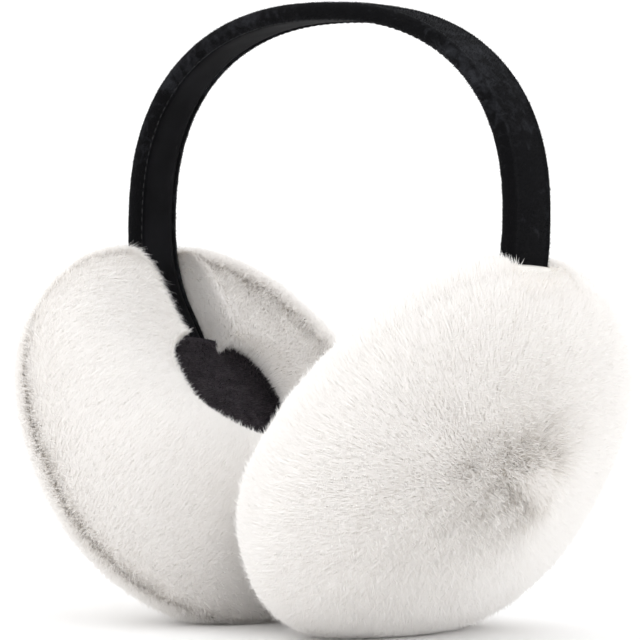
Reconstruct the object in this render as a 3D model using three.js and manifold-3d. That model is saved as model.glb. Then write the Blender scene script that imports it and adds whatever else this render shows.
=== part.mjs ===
// Fur earmuffs: a padded velvet headband whose two ends run into a pair of round, deep-fur ear pads.
// Millimetres. +X is the wearer's side-to-side axis, -Y the front, +Z up.
// The muffs stand on the squashed fur under their pads: the origin is on the floor, under the middle of the
// whole.
import * as THREE from "three";
import { mergeVertices } from "three/addons/utils/BufferGeometryUtils.js";
import Module from "manifold-3d";

// Headband: the arch is measured on its outer face, from the level where it is widest.
const ARCH_HALF_WIDTH = 75.5;
const ARCH_RISE = 63.5;
const ARCH_DROP = 58;
const ARCH_POWER = 2.32;
const BAND_WIDTH_CROWN = 18.2;
const BAND_WIDTH_END = 20.4;
const BAND_THICKNESS = 5.2;
const BAND_EDGE_RADIUS = 2;
const TAIL_LENGTH = 27;

// Lining strip let into the inner face of the headband.
const STRIP_MARGIN = 2.6;
const STRIP_THICKNESS = 1.1;
const STRIP_SINK = 0.25;

// Ear pad: an oval cushion of fur, tilted with the end of the band, with a hollow for the ear. The taper is
// the share by which the oval is narrower than its half depth at the very top, and wider at the very bottom.
const PAD_TILT = THREE.MathUtils.degToRad(32);
const PAD_HALF_HEIGHT = 64.4;
const PAD_HALF_DEPTH = 70;
const PAD_POWER = 2.25;
const PAD_TAPER = 0.06;
const PAD_OUTER_CROWN = 31;
const LIP_HEIGHT_TOP = 20;
const LIP_HEIGHT_BOTTOM = 34.5;
const LIP_FRONT_DROP = 4;
const LIP_RADIUS = 37;
const MOUTH_RADIUS = 19.5;
const MOUTH_HEIGHT = 11;
const MOUTH_RAISE = 8;
const HOLLOW_RADIUS = 33;
const PAD_BELOW_TAIL = 43.8;
const PAD_FORWARD = 2.6;
const TAIL_SEAT = 0.9;
const BACKING_ROWS = [0.16, 0.32, 0.48, 0.64, 0.82, 1, 1.25, 1.5, 1.75, 2, 2.35, 2.65, 3];

// Fur: locks stand on the backing and lie along the nap, from the outer crown round to the hollow. Rows and
// runs are shares of the reaches of the fur's skin.
const PILE = 3.2;
const LOCK_ROOT = 2;
const LOCK_STAND = 0.6;
const LOCK_RUN = 0.4;
const LOCK_WIDTH = 24;
const LOCK_THICKNESS = 4;
const LOCK_WAIST = 0.45;
const LOCK_TIP_SINK = 0.15;
const LOCK_SPACING = 28;
const LOCK_ROWS = [0.03, 0.24, 0.44, 0.64, 0.84, 1.04, 1.36, 1.68, 2.02];
const LOCK_FEWEST = 4;
const LOCK_SCATTER = 0.3;
const LOCK_SWING = 0.5;
const LOCK_SEED = 7;

// Ear lining: a dish of short black plush at the bottom of the hollow, with a softly crowned floor.
const LINING_THICKNESS = 1.8;
const LINING_WALL_SHARE = 0.5;
const LINING_CROWN = 1.5;
const LINING_CROWN_ROW = 0.6;

const FLOOR_SQUASH = 5.5;
const PAD_MEETING_GAP = 0.8;
const CLEARANCE = 0.4;

const ARCH_STATIONS = 34;
const PAD_SECTORS = 32;
const LINING_SECTORS = 28;
const EXPONENT = 2 / ARCH_POWER;
const SMALL_TURN = 0.001;

const CHANNEL_DEPTH = LIP_HEIGHT_BOTTOM + BAND_THICKNESS;
const HOLLOW_FLOOR = TAIL_SEAT + BAND_THICKNESS;
const MOUTH_LEVEL = HOLLOW_FLOOR + MOUTH_HEIGHT;

// The right pad's own directions: up along the band's tail, and from the outer crown in towards the head.
const PAD_UP = new THREE.Vector3(Math.sin(PAD_TILT), 0, Math.cos(PAD_TILT));
const PAD_IN = new THREE.Vector3(-Math.cos(PAD_TILT), 0, Math.sin(PAD_TILT));
const BACK = new THREE.Vector3(0, 1, 0);

const wasm = await Module();
wasm.setup();

// Turns triangle corners into one closed solid.
function solidFrom(geometry) {
  const bare = new THREE.BufferGeometry()
    .setAttribute("position", geometry.getAttribute("position"))
    .setIndex(geometry.index);
  const merged = mergeVertices(bare, 1e-4);
  return new wasm.Manifold(
    new wasm.Mesh({
      numProp: 3,
      vertProperties: new Float32Array(merged.attributes.position.array),
      triVerts: new Uint32Array(merged.index.array),
    }),
  );
}

// Gives a solid back as a drawable geometry, keeping its largest body only.
function geometryFrom(solid) {
  const body = solid.decompose().sort((a, b) => b.volume() - a.volume())[0];
  const mesh = body.getMesh();
  const geometry = new THREE.BufferGeometry()
    .setAttribute("position", new THREE.BufferAttribute(new Float32Array(mesh.vertProperties), 3))
    .setIndex(new THREE.BufferAttribute(new Uint32Array(mesh.triVerts), 1));
  geometry.computeVertexNormals();
  return geometry;
}

// Skins a closed solid over a row of rings with the same number of points; the first and last are capped
// by a fan round their middle, or by a single point where the ring is given as one.
function skin(rings) {
  const points = [];
  const faces = [];
  const starts = rings.map((ring) => points.push(...ring) - ring.length);
  rings.slice(1).forEach((ring, i) => {
    const [lower, upper] = [rings[i], ring];
    const count = Math.max(lower.length, upper.length);
    for (let k = 0; k < count; k++) {
      const next = (k + 1) % count;
      const a = starts[i] + (lower.length === 1 ? 0 : k);
      const b = starts[i] + (lower.length === 1 ? 0 : next);
      const c = starts[i + 1] + (upper.length === 1 ? 0 : next);
      const d = starts[i + 1] + (upper.length === 1 ? 0 : k);
      if (a !== b) faces.push(a, b, c);
      if (c !== d) faces.push(a, c, d);
    }
  });
  const cap = (ring, start, flip) => {
    if (ring.length === 1) return;
    const sum = ring.reduce((total, p) => total.add(p), new THREE.Vector3());
    const middle = points.push(sum.divideScalar(ring.length)) - 1;
    ring.forEach((_, k) => {
      const pair = [start + k, start + ((k + 1) % ring.length)];
      faces.push(middle, ...(flip ? pair.reverse() : pair));
    });
  };
  cap(rings[0], starts[0], true);
  cap(rings.at(-1), starts.at(-1), false);
  return new THREE.BufferGeometry().setFromPoints(points).setIndex(faces);
}

function box(low, high) {
  const size = high.clone().sub(low);
  const middle = low.clone().add(high).divideScalar(2);
  return new THREE.BoxGeometry(size.x, size.y, size.z).translate(middle.x, middle.y, middle.z);
}

// Repeatable random numbers between 0 and 1.
function randomSource(seed) {
  let state = seed;
  return () => {
    state = (state * 16807) % 2147483647;
    return state / 2147483647;
  };
}

// The arch's outer face on the right side, at an angle from the widest level up to the crown.
function archPoint(angle) {
  const [c, s] = [Math.cos(angle), Math.sin(angle)];
  const reach = s < 0 ? ARCH_DROP : ARCH_RISE;
  return new THREE.Vector3(
    ARCH_HALF_WIDTH * Math.sign(c) * Math.abs(c) ** EXPONENT,
    0,
    reach * Math.sign(s) * Math.abs(s) ** EXPONENT,
  );
}

// Below the widest level the arch leans in until it runs along the pad, where the straight tail begins.
const TAIL_ANGLE = -Math.atan(
  ((Math.tan(PAD_TILT) * ARCH_DROP) / ARCH_HALF_WIDTH) ** (1 / (2 - EXPONENT)),
);
const TAIL_START = archPoint(TAIL_ANGLE);
const PAD_CENTRE = TAIL_START.clone()
  .addScaledVector(PAD_UP, -PAD_BELOW_TAIL)
  .addScaledVector(PAD_IN, -TAIL_SEAT)
  .add(new THREE.Vector3(0, -PAD_FORWARD, 0));
const PAD_REACH_DOWN = Math.hypot(PAD_OUTER_CROWN * Math.sin(PAD_TILT), PAD_HALF_HEIGHT * Math.cos(PAD_TILT));
const WIDEST_LEVEL = PAD_REACH_DOWN - FLOOR_SQUASH - PAD_CENTRE.z;

// Stations along the band from the right tail's end over the crown to the left tail's end. Each has a point
// on the outer face, the direction into the band, and the band's width there.
function bandStations() {
  const right = [TAIL_LENGTH, TAIL_LENGTH / 2].map((below) => ({
    point: TAIL_START.clone().addScaledVector(PAD_UP, -below),
    inward: PAD_IN.clone(),
  }));
  for (let i = 0; i <= ARCH_STATIONS / 2; i++) {
    const angle = THREE.MathUtils.lerp(TAIL_ANGLE, Math.PI / 2, i / (ARCH_STATIONS / 2));
    const ahead = archPoint(Math.min(angle + SMALL_TURN, Math.PI / 2));
    const along = ahead.sub(archPoint(angle - SMALL_TURN)).normalize();
    right.push({ point: archPoint(angle), inward: new THREE.Vector3(-along.z, 0, along.x) });
  }
  right.at(-1).inward.set(0, 0, -1);
  for (const station of right) {
    const fall = THREE.MathUtils.clamp(-station.point.z / ARCH_DROP, 0, 1);
    station.width = THREE.MathUtils.lerp(BAND_WIDTH_CROWN, BAND_WIDTH_END, fall);
  }
  const left = right.slice(0, -1).reverse().map(({ point, inward, width }) => ({
    point: point.clone().multiply(new THREE.Vector3(-1, 1, 1)),
    inward: inward.clone().multiply(new THREE.Vector3(-1, 1, 1)),
    width,
  }));
  return [...right, ...left];
}

// Sweeps a section, given as pairs of distance across and depth from the outer face, along the band.
function sweepBand(stations, sectionAt) {
  const ringAt = ({ point, inward, width }) => sectionAt(width).map(([across, depth]) => point.clone()
    .addScaledVector(inward, depth)
    .addScaledVector(BACK, across));
  return skin(stations.map(ringAt));
}

// Cover section: a rolled outline with a shallow bed for the lining strip in its inner face.
function coverSection(width) {
  const [half, roll, bed] = [width / 2, BAND_EDGE_RADIUS, STRIP_THICKNESS + STRIP_SINK + CLEARANCE];
  const bedHalf = half - STRIP_MARGIN;
  const corner = roll * (1 - Math.SQRT1_2);
  const side = [
    [half - roll, 0],
    [half - corner, corner],
    [half, roll],
    [half, BAND_THICKNESS - roll],
    [half - corner, BAND_THICKNESS - corner],
    [half - roll, BAND_THICKNESS],
    [bedHalf, BAND_THICKNESS - CLEARANCE / 2],
    [bedHalf, BAND_THICKNESS - bed],
  ];
  return [...side, ...side.map(([across, depth]) => [-across, depth]).reverse()];
}

function stripSection(width) {
  const half = width / 2 - STRIP_MARGIN - CLEARANCE;
  const top = BAND_THICKNESS - STRIP_SINK;
  const bottom = top - STRIP_THICKNESS;
  return [[half, bottom], [half, top], [-half, top], [-half, bottom]];
}

// The room that a fur pad leaves for the band: its outline and the clearance, open towards the head.
function channelSection(width) {
  const half = width / 2 + CLEARANCE;
  return [[half, -CLEARANCE], [half, CHANNEL_DEPTH], [-half, CHANNEL_DEPTH], [-half, -CLEARANCE]];
}

// A point of the right pad: up along the pad, back along Y, and in towards the head, from the pad's centre.
function padPoint(up, back, inwards) {
  return PAD_CENTRE.clone()
    .addScaledVector(PAD_UP, up)
    .addScaledVector(BACK, back)
    .addScaledVector(PAD_IN, inwards);
}

// A lip is low at the top, where the band presses on it, and full at the bottom, where the pads meet. Its
// front is pressed down a little below its back.
function lipHeight(turn) {
  const height = THREE.MathUtils.lerp(LIP_HEIGHT_TOP, LIP_HEIGHT_BOTTOM, (1 - Math.cos(turn)) / 2);
  return height - LIP_FRONT_DROP * ((1 - Math.sin(turn)) / 2) ** 2;
}

// The skin of the fur runs in three reaches: over the outer crown to the rim, from the rim up to the crest of
// the lip, and from the crest down to the mouth of the hollow. A place on it is a reach with a share from 0
// to 1 along it. depth is measured inwards from the tips of the fur, off the outline of that reach.
function furSkin(place, depth) {
  const reach = Math.min(Math.floor(place), 2);
  const angle = (place - reach) * (Math.PI / 2);
  const rim = PAD_HALF_HEIGHT - depth;
  if (reach === 0) {
    const level = (depth - PAD_OUTER_CROWN) * Math.cos(angle);
    return { radius: rim * Math.sin(angle), raise: 0, levelAt: () => level };
  }
  if (reach === 1) {
    return {
      radius: LIP_RADIUS + (rim - LIP_RADIUS) * Math.cos(angle),
      raise: MOUTH_RAISE * Math.sin(angle),
      levelAt: (turn) => (lipHeight(turn) - depth) * Math.sin(angle),
    };
  }
  return {
    radius: LIP_RADIUS + (MOUTH_RADIUS + depth - LIP_RADIUS) * Math.sin(angle),
    raise: MOUTH_RAISE,
    levelAt: (turn) => THREE.MathUtils.lerp(MOUTH_LEVEL, lipHeight(turn) - depth, Math.cos(angle)),
  };
}

// The wall of the hollow, from the mouth (share 0) out under the fur to the foot (share 1), moved in by off
// square to itself. It leans in from foot to mouth, most at the bottom of the pad and least at the top.
function hollowWall(share, off) {
  const lean = HOLLOW_RADIUS - MOUTH_RADIUS - PILE;
  const [below, above] = [lean + MOUTH_RAISE, lean - MOUTH_RAISE].map((leaning) => (
    (off * Math.hypot(MOUTH_HEIGHT, leaning)) / MOUTH_HEIGHT
  ));
  return {
    radius: THREE.MathUtils.lerp(MOUTH_RADIUS + PILE, HOLLOW_RADIUS, share) - (below + above) / 2,
    raise: MOUTH_RAISE * (1 - share) + (below - above) / 2,
    levelAt: () => THREE.MathUtils.lerp(MOUTH_LEVEL, HOLLOW_FLOOR, share),
  };
}

// A point of an outline at a turn round the pad. Seen flat, the pad is an oval with full corners, a little
// longer from front to back than it is high, and narrower above than below.
function outlinePoint({ radius, raise, levelAt }, turn) {
  const [c, s] = [Math.cos(turn), Math.sin(turn)];
  const up = Math.sign(c) * Math.abs(c) ** (2 / PAD_POWER);
  const stretch = (PAD_HALF_DEPTH / PAD_HALF_HEIGHT) * (1 - PAD_TAPER * up);
  const back = Math.sign(s) * Math.abs(s) ** (2 / PAD_POWER);
  return padPoint(raise + radius * up, radius * stretch * back, levelAt(turn));
}

function padRing(outline, sectors) {
  return Array.from({ length: sectors }, (_, k) => outlinePoint(outline, (k / sectors) * 2 * Math.PI));
}

function padBacking() {
  const rings = [...BACKING_ROWS.map((place) => furSkin(place, PILE)), hollowWall(1, 0)];
  return skin([
    [padPoint(0, 0, PILE - PAD_OUTER_CROWN)],
    ...rings.map((outline) => padRing(outline, PAD_SECTORS)),
    [padPoint(0, 0, HOLLOW_FLOOR)],
  ]);
}

// A lock tapers to both ends and has a ridge along its back. It is rooted in the backing at a place on the
// fur's skin and lies along the nap, following the skin to a tip.
function lock(place, turn, swing, size) {
  const run = LOCK_RUN * size;
  const at = (share, depth) => outlinePoint(furSkin(place + share * run, depth), turn + share * swing);
  const [root, ridge] = [at(0, PILE + LOCK_ROOT), at(LOCK_WAIST, -LOCK_STAND)];
  const tip = at(1, PILE * LOCK_TIP_SINK);
  const backing = furSkin(place, PILE);
  const across = outlinePoint(backing, turn + SMALL_TURN)
    .sub(outlinePoint(backing, turn - SMALL_TURN))
    .normalize();
  const out = new THREE.Vector3().subVectors(root, tip).cross(across).normalize();
  const corner = (side) => ridge.clone()
    .addScaledVector(across, (side * LOCK_WIDTH * size) / 2)
    .addScaledVector(out, -LOCK_THICKNESS);
  return skin([[root], [corner(1), corner(-1), ridge], [tip]]);
}

// Rows of locks over the pad, staggered from row to row, with a little scatter in place, lean and size.
function padLocks() {
  const random = randomSource(LOCK_SEED);
  return LOCK_ROWS.flatMap((place, row) => {
    const around = 2 * Math.PI * furSkin(place, 0).radius;
    const count = Math.max(LOCK_FEWEST, Math.round(around / LOCK_SPACING));
    return Array.from({ length: count }, (_, k) => {
      const scatter = () => LOCK_SCATTER * (random() - 1 / 2);
      const turn = ((k + (row % 2) / 2 + scatter()) / count) * 2 * Math.PI;
      const swing = (LOCK_SWING * (random() - 1 / 2) * LOCK_SPACING) / PAD_HALF_HEIGHT;
      return lock(place, turn, swing, 1 + scatter());
    });
  });
}

// The dish that lines the hollow: a crowned floor, and a low wall that follows the hollow's wall. A face of
// it runs from the floor's middle to the wall's top, moved in from the hollow by off.
function liningFace(off) {
  const foot = hollowWall(1 - off / MOUTH_HEIGHT, off);
  const floorAt = (size) => ({
    radius: foot.radius * size,
    raise: foot.raise,
    levelAt: () => foot.levelAt() + LINING_CROWN * (1 - size ** 2),
  });
  return [
    [padPoint(foot.raise, 0, floorAt(0).levelAt())],
    ...[floorAt(LINING_CROWN_ROW), foot, hollowWall(1 - LINING_WALL_SHARE, off)]
      .map((outline) => padRing(outline, LINING_SECTORS)),
  ];
}

function earLining() {
  return skin([...liningFace(CLEARANCE), ...liningFace(CLEARANCE + LINING_THICKNESS).reverse()]);
}

// The hollow's own room and the open way in to it, kept clear of locks.
function hollowRoom() {
  const mouth = furSkin(3, PILE);
  const top = 2 * LIP_HEIGHT_BOTTOM;
  return skin([
    [padPoint(0, 0, HOLLOW_FLOOR)],
    padRing(hollowWall(1, 0), PAD_SECTORS),
    padRing(mouth, PAD_SECTORS),
    padRing({ ...mouth, levelAt: () => top }, PAD_SECTORS),
    [padPoint(mouth.raise, 0, top)],
  ]);
}

// The right fur pad: backing and locks in one body, with room for the band and the lining, flat where it
// stands on the floor and where it meets the other pad.
function furPad(stations) {
  const far = 4 * (PAD_HALF_DEPTH + ARCH_HALF_WIDTH);
  const fur = padLocks().reduce((body, one) => body.add(solidFrom(one)), solidFrom(padBacking()));
  const rightSide = stations.slice(0, Math.floor(stations.length / 2));
  const roomy = box(
    new THREE.Vector3(PAD_MEETING_GAP / 2, -far, -WIDEST_LEVEL),
    new THREE.Vector3(far, far, far),
  );
  return geometryFrom(fur
    .subtract(solidFrom(sweepBand(rightSide, channelSection)))
    .subtract(solidFrom(hollowRoom()))
    .intersect(solidFrom(roomy)));
}

const VELVET = new THREE.MeshStandardMaterial({ color: 0x17171a, roughness: 0.9, metalness: 0 });
const STRIP_CLOTH = new THREE.MeshStandardMaterial({ color: 0x1c1b1f, roughness: 0.85, metalness: 0 });
const FUR = new THREE.MeshStandardMaterial({ color: 0xf4f2ef, roughness: 1, metalness: 0 });
const PLUSH = new THREE.MeshStandardMaterial({ color: 0x2a272b, roughness: 0.95, metalness: 0 });

function named(name, geometry, material) {
  const mesh = new THREE.Mesh(geometry, material);
  mesh.name = name;
  return mesh;
}

// One ear's pieces; the left ear's are the right ear's mirrored across the middle.
function ear(side, pad, lining) {
  const group = new THREE.Group();
  group.add(named(`${side}_fur_pad`, pad, FUR), named(`${side}_ear_lining`, lining, PLUSH));
  group.scale.x = side === "left" ? -1 : 1;
  return group;
}

function earmuffs() {
  const stations = bandStations();
  const group = new THREE.Group();
  group.add(
    named("headband_cover", sweepBand(stations, coverSection), VELVET),
    named("headband_lining", sweepBand(stations, stripSection), STRIP_CLOTH),
  );
  const pad = furPad(stations);
  const lining = earLining();
  group.add(ear("right", pad, lining), ear("left", pad, lining));
  const bounds = new THREE.Box3().setFromObject(group);
  group.position.set(0, -(bounds.min.y + bounds.max.y) / 2, -bounds.min.z);
  const part = new THREE.Group();
  part.add(group);
  return part;
}

export default earmuffs();
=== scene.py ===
"""Fur earmuffs: a velvet headband arch that runs into two deep-fur ear pads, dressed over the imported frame."""

import logging
import math
from dataclasses import dataclass, field
from enum import Enum

import bpy
import numpy as np
from mathutils import Matrix, Vector, noise


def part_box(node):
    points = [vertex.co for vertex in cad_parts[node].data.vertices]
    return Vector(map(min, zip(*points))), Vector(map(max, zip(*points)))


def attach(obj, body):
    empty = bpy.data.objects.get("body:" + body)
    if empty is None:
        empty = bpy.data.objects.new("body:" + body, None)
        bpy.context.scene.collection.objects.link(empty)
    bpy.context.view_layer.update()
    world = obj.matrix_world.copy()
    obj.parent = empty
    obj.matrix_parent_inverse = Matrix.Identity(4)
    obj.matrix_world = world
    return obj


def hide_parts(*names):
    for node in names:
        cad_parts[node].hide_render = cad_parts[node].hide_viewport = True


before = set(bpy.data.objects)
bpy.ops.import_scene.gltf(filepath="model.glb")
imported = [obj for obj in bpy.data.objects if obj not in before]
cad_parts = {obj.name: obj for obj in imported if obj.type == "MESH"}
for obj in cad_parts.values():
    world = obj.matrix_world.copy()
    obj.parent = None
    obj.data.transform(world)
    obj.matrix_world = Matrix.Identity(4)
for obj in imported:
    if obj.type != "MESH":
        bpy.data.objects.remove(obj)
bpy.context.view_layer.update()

LOG = logging.getLogger("earmuffs")
MM = 0.001
IMAGE_SIDE = 640
BACK = np.array([0.0, 1.0, 0.0])


class Side(Enum):
    """Which ear a piece belongs to; the value is the sign of its X."""

    RIGHT = 1
    LEFT = -1

    @property
    def label(self) -> str:
        """The side's name, as the frame's nodes spell it."""
        return self.name.lower()


def linear(hex_colour: str, alpha: float = 1.0) -> tuple[float, float, float, float]:
    """Turns an sRGB hex colour to linear.

    Args:
        hex_colour: Six hex digits, without a hash mark.
        alpha: The fourth value of the result.

    Returns:
        Linear red, green and blue, and alpha.
    """
    parts = [int(hex_colour[i:i + 2], 16) / 255 for i in (0, 2, 4)]
    red, green, blue = [p / 12.92 if p <= 0.04045 else ((p + 0.055) / 1.055) ** 2.4 for p in parts]
    return red, green, blue, alpha


def unit(vectors: np.ndarray) -> np.ndarray:
    """Scales vectors, given in the last axis, to length 1."""
    return vectors / np.maximum(np.linalg.norm(vectors, axis=-1, keepdims=True), 1e-12)


def mesh_object(name: str, points: np.ndarray, faces: list[tuple[int, ...]]) -> bpy.types.Object:
    """Makes a smooth-shaded mesh object at the origin.

    Args:
        name: The object's name.
        points: Corners in metres, one a row.
        faces: Corner numbers of each face, facing out.

    Returns:
        The object, linked to the scene.
    """
    mesh = bpy.data.meshes.new(name)
    mesh.from_pydata(points.tolist(), [], faces)
    mesh.polygons.foreach_set("use_smooth", [True] * len(mesh.polygons))
    mesh.update()
    made = bpy.data.objects.new(name, mesh)
    bpy.context.scene.collection.objects.link(made)
    return made


def tube_faces(rings: int, around: int, start: int = 0) -> list[tuple[int, ...]]:
    """Quads of a skin over rings of corners, each ring closed on itself.

    Args:
        rings: How many rings there are.
        around: Corners in a ring.
        start: Number of the first ring's first corner.

    Returns:
        Corner numbers of each quad.
    """
    faces = []
    for i in range(rings - 1):
        for k in range(around):
            a, b = start + i * around + k, start + i * around + (k + 1) % around
            faces.append((a, b, b + around, a + around))
    return faces


def closed_skin(name: str, rings: np.ndarray) -> bpy.types.Object:
    """Skins a closed body over rings, with a fan of faces to a pole at each end.

    Args:
        name: The object's name.
        rings: Rings of points, as (ring, corner, xyz). The first and last are averaged to the poles.

    Returns:
        The object.
    """
    count, around = rings.shape[:2]
    inner = rings[1:-1].reshape(-1, 3)
    poles = np.array([rings[0].mean(axis=0), rings[-1].mean(axis=0)])
    points = np.concatenate([inner, poles])
    first, last = len(inner), len(inner) + 1
    faces = tube_faces(count - 2, around)
    faces += [(first, (k + 1) % around, k) for k in range(around)]
    top = (count - 3) * around
    faces += [(last, top + k, top + (k + 1) % around) for k in range(around)]
    return mesh_object(name, points, faces)


def face_out(piece: bpy.types.Object) -> None:
    """Turns a closed body's faces outwards if its volume comes out negative."""
    mesh = piece.data
    mesh.calc_loop_triangles()
    corners = np.empty(len(mesh.vertices) * 3)
    mesh.vertices.foreach_get("co", corners)
    corners = corners.reshape(-1, 3)
    picks = np.empty(len(mesh.loop_triangles) * 3, dtype=np.int32)
    mesh.loop_triangles.foreach_get("vertices", picks)
    a, b, c = corners[picks.reshape(-1, 3)].transpose(1, 0, 2)
    if np.einsum("ij,ij->i", a, np.cross(b, c)).sum() < 0:
        mesh.flip_normals()


def store(piece: bpy.types.Object, name: str, kind: str, values: np.ndarray) -> None:
    """Keeps one value for each corner of a mesh under a name.

    Args:
        piece: The mesh object.
        name: The attribute's name.
        kind: FLOAT or FLOAT_VECTOR.
        values: One number or vector for each corner.
    """
    layer = piece.data.attributes.new(name, kind, "POINT")
    member = "vector" if kind == "FLOAT_VECTOR" else "value"
    layer.data.foreach_set(member, values.astype(np.float32).ravel())


class Graph:
    """A node tree that is filled one node at a time."""

    def __init__(self, tree: bpy.types.NodeTree) -> None:
        """Starts on an empty tree."""
        self.tree = tree
        tree.nodes.clear()

    def add(self, kind: str, sockets: dict | None = None, **settings: object) -> bpy.types.Node:
        """Adds a node.

        Args:
            kind: Blender's name for the node's type.
            sockets: Input name or number to a value, or to an output socket that it is linked from.
            settings: The node's own settings.

        Returns:
            The node.
        """
        node = self.tree.nodes.new(kind)
        for key, value in settings.items():
            setattr(node, key, value)
        for key, value in (sockets or {}).items():
            if isinstance(value, bpy.types.NodeSocket):
                self.tree.links.new(value, node.inputs[key])
            else:
                node.inputs[key].default_value = value
        return node


def new_material(name: str) -> tuple[bpy.types.Material, Graph]:
    """Makes an empty node material and the graph that fills it."""
    material = bpy.data.materials.new(name)
    material.use_nodes = True
    return material, Graph(material.node_tree)


@dataclass(frozen=True)
class CrushedVelvet:
    """Black cotton velvet, cut pile on a woven ground: it swallows light.

    It greys in random patches where the pile is laid over. At its shoulders a painted highlight lightens it, standing
    in for light caught by the bent pile.
    """

    dark: str = "0B0B0D"
    bloom: str = "2C2D31"
    patch_mm: float = 24.0
    mottle_mm: float = 3.2
    pile_mm: float = 0.5
    bump: float = 0.5
    sheen: float = 0.14
    # Painted highlight: its centre on each shoulder, how far it reaches, and how much darker the velvet is kept away
    # from it.
    shoulder: tuple[float, float, float] = (0.052, 0.0, 0.168)
    shoulder_reach: float = 42.0 * MM
    highlight_lift: float = 0.2

    def material(self) -> bpy.types.Material:
        """Builds the finish: patches of laid-over pile, mottled, a painted highlight at the shoulders, and the pile's
        own grain. Returns it.
        """
        made, graph = new_material("black_cotton_velvet")
        place = graph.add("ShaderNodeTexCoord").outputs["Object"]
        patch = graph.add("ShaderNodeTexNoise", {
            "Vector": place, "Scale": 1 / (self.patch_mm * MM), "Detail": 2.0})
        mottle = graph.add("ShaderNodeTexNoise", {
            "Vector": place, "Scale": 1 / (self.mottle_mm * MM), "Detail": 4.0, "Roughness": 0.65, "Distortion": 0.6})
        pile = graph.add("ShaderNodeTexNoise", {"Vector": place, "Scale": 1 / (self.pile_mm * MM), "Detail": 2.0})
        both = graph.add("ShaderNodeMath", {0: patch.outputs["Fac"], 1: 0.55, 2: mottle.outputs["Fac"]},
                         operation="MULTIPLY_ADD")
        # Painted highlight: the tone keeps its full lightness near each shoulder, standing in for light caught by the
        # bent pile, and is lowered everywhere else.
        mirrored = graph.add("ShaderNodeVectorMath", {0: place}, operation="ABSOLUTE")
        away = graph.add("ShaderNodeVectorMath", {0: mirrored.outputs["Vector"], 1: self.shoulder},
                         operation="DISTANCE")
        near = graph.add("ShaderNodeMapRange", {
            "Value": away.outputs["Value"], "From Min": self.shoulder_reach, "From Max": 0.0,
            "To Min": self.highlight_lift, "To Max": 0.0})
        mottle_with_painted_highlight = graph.add("ShaderNodeMath", {0: both.outputs["Value"], 1: near.outputs["Result"]},
                         operation="SUBTRACT")
        # The ramp's light end gives both the random mottle and the painted shoulder highlight.
        laid = graph.add("ShaderNodeValToRGB", {"Fac": mottle_with_painted_highlight.outputs["Value"]})
        laid.color_ramp.elements[0].position, laid.color_ramp.elements[0].color = 0.66, linear(self.dark)
        laid.color_ramp.elements[1].position, laid.color_ramp.elements[1].color = 1.0, linear(self.bloom)
        relief = graph.add("ShaderNodeBump", {"Height": pile.outputs["Fac"], "Strength": self.bump,
                                              "Distance": 0.15 * MM})
        shader = graph.add("ShaderNodeBsdfPrincipled", {
            "Base Color": laid.outputs["Color"], "Roughness": 0.95, "Normal": relief.outputs["Normal"],
            "Specular IOR Level": 0.1, "Sheen Weight": self.sheen, "Sheen Roughness": 0.4,
            "Sheen Tint": linear("8A8D94")})
        graph.add("ShaderNodeOutputMaterial", {"Surface": shader.outputs["BSDF"]})
        return made


@dataclass(frozen=True)
class LiningSateen:
    """Black cotton sateen with a fine diagonal weave: as dark as the velvet round it, but smooth."""

    dark: str = "09090B"
    light: str = "141417"
    weave_mm: float = 0.8

    def material(self) -> bpy.types.Material:
        """Builds the finish. The weave is drawn coarser than its 0.3 mm threads so that it shows. Returns it."""
        made, graph = new_material("black_cotton_sateen")
        run = graph.add("ShaderNodeTexCoord").outputs["UV"]
        place = graph.add("ShaderNodeTexCoord").outputs["Object"]
        weave = graph.add("ShaderNodeTexWave", {"Vector": run, "Scale": 1 / (self.weave_mm * MM) / 20,
                                                "Distortion": 0.6, "Detail": 1.0}, bands_direction="DIAGONAL")
        cloud = graph.add("ShaderNodeTexNoise", {"Vector": place, "Scale": 90.0, "Detail": 4.0})
        tone = graph.add("ShaderNodeValToRGB", {"Fac": cloud.outputs["Fac"]})
        tone.color_ramp.elements[0].position, tone.color_ramp.elements[0].color = 0.35, linear(self.dark)
        tone.color_ramp.elements[1].position, tone.color_ramp.elements[1].color = 0.7, linear(self.light)
        relief = graph.add("ShaderNodeBump", {"Height": weave.outputs["Fac"], "Strength": 0.25,
                                              "Distance": 0.1 * MM})
        shader = graph.add("ShaderNodeBsdfPrincipled", {
            "Base Color": tone.outputs["Color"], "Roughness": 0.8, "Normal": relief.outputs["Normal"],
            "Specular IOR Level": 0.05, "Sheen Weight": 0.02, "Sheen Roughness": 0.5})
        graph.add("ShaderNodeOutputMaterial", {"Surface": shader.outputs["BSDF"]})
        return made


@dataclass(frozen=True)
class PolyesterThread:
    """Spun polyester sewing thread, black, slightly glossier than the cloth, so that each stitch catches light."""

    colour: str = "121214"

    def material(self) -> bpy.types.Material:
        """Builds the finish. Returns the material."""
        made, graph = new_material("black_polyester_thread")
        place = graph.add("ShaderNodeTexCoord").outputs["Object"]
        twist = graph.add("ShaderNodeTexNoise", {"Vector": place, "Scale": 1 / (0.3 * MM), "Detail": 1.0})
        relief = graph.add("ShaderNodeBump", {"Height": twist.outputs["Fac"], "Strength": 0.2,
                                              "Distance": 0.05 * MM})
        shader = graph.add("ShaderNodeBsdfPrincipled", {
            "Base Color": linear(self.colour), "Roughness": 0.75, "Normal": relief.outputs["Normal"]})
        graph.add("ShaderNodeOutputMaterial", {"Surface": shader.outputs["BSDF"]})
        return made


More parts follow.
